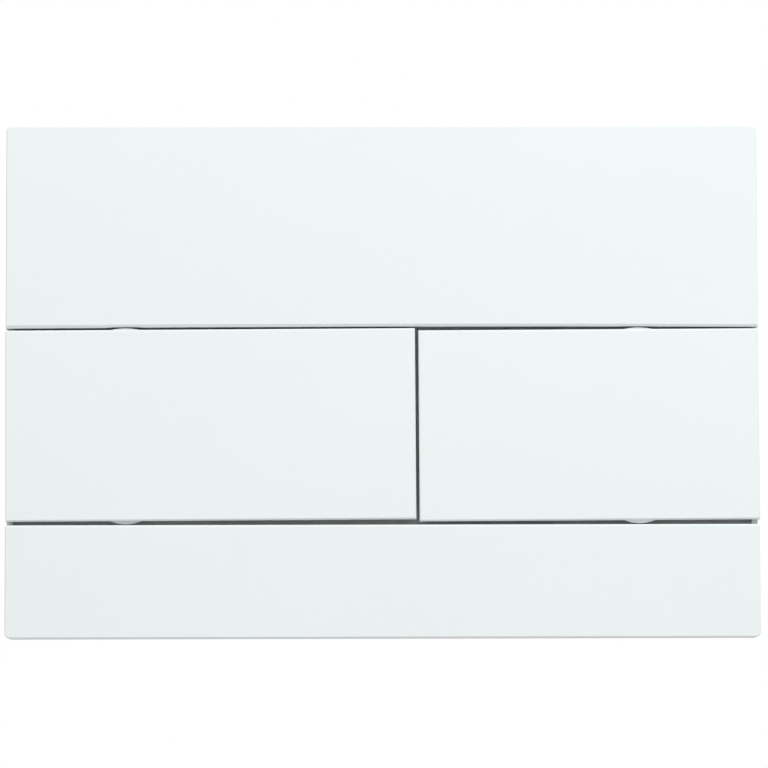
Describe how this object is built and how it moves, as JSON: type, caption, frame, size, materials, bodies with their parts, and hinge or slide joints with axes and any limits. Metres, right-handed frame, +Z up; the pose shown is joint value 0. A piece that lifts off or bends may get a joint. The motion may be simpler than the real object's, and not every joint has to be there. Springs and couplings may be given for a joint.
{
  "type": "flush button plate",
  "caption": "Rectangular wall plate for a concealed cistern: a wide full-flush and a narrower partial-flush rocker button between cover panels, with push rods behind.",
  "frame": {"origin": "middle of the plate on the plane of the finished wall", "axes": "+X to the right as seen from the room, +Y into the wall, +Z up"},
  "size_m": [0.2202, 0.079, 0.15],
  "materials": {
    "front_white": "satin white moulded plastic",
    "carrier_white": "white moulded plastic, fine texture",
    "frame_grey": "dark grey moulded plastic, fine texture",
    "pin_steel": "drawn steel",
    "spring_steel": "bowed spring-steel strip",
    "buffer_rubber": "black rubber",
    "rod_plastic": "natural threaded plastic",
    "head_plastic": "natural plastic",
    "nut_plastic": "blue plastic",
    "bolt_plastic": "natural threaded plastic"
  },
  "bodies": {
    "plate": {"top_panel": "front_white", "bottom_panel": "front_white", "carrier_frame": "carrier_white", "mounting_frame": "frame_grey", "full_flush_hinge_pin": "pin_steel", "partial_flush_hinge_pin": "pin_steel", "full_flush_return_spring": "spring_steel", "partial_flush_return_spring": "spring_steel", "full_flush_stop_buffer": "buffer_rubber", "partial_flush_stop_buffer": "buffer_rubber", "left_fixing_bolt": "bolt_plastic", "right_fixing_bolt": "bolt_plastic", "left_fixing_nut": "nut_plastic", "right_fixing_nut": "nut_plastic"},
    "full_button": {"full_flush_button": "front_white"},
    "partial_button": {"partial_flush_button": "front_white"},
    "full_rod": {"full_flush_push_rod": "rod_plastic", "full_flush_rod_head": "head_plastic", "full_flush_rod_locknut": "nut_plastic"},
    "partial_rod": {"partial_flush_push_rod": "rod_plastic", "partial_flush_rod_head": "head_plastic", "partial_flush_rod_locknut": "nut_plastic"}
  },
  "joints": [
    {"name": "full_flush_press", "type": "hinge", "parent": "plate", "child": "full_button", "pos_m": [-0.075, -0.0066, -0.0129], "axis": [0, 0, 1], "range_deg": [0, 3.04], "stiffness_Nm_per_rad": 0.9, "deforming": ["full_flush_return_spring"]},
    {"name": "partial_flush_press", "type": "hinge", "parent": "plate", "child": "partial_button", "pos_m": [0.075, -0.0066, -0.0129], "axis": [0, 0, -1], "range_deg": [0, 4], "stiffness_Nm_per_rad": 0.9, "deforming": ["partial_flush_return_spring"]},
    {"name": "full_flush_rod_slide", "type": "slide", "parent": "plate", "child": "full_rod", "axis": [0, 1, 0], "range_m": [0, 0.0029]},
    {"name": "partial_flush_rod_slide", "type": "slide", "parent": "plate", "child": "partial_rod", "axis": [0, 1, 0], "range_m": [0, 0.0038]}
  ],
  "couplings": [
    {"joint": "full_flush_rod_slide", "follows": "full_flush_press", "m_per_rad": 0.053},
    {"joint": "partial_flush_rod_slide", "follows": "partial_flush_press", "m_per_rad": 0.053}
  ]
}
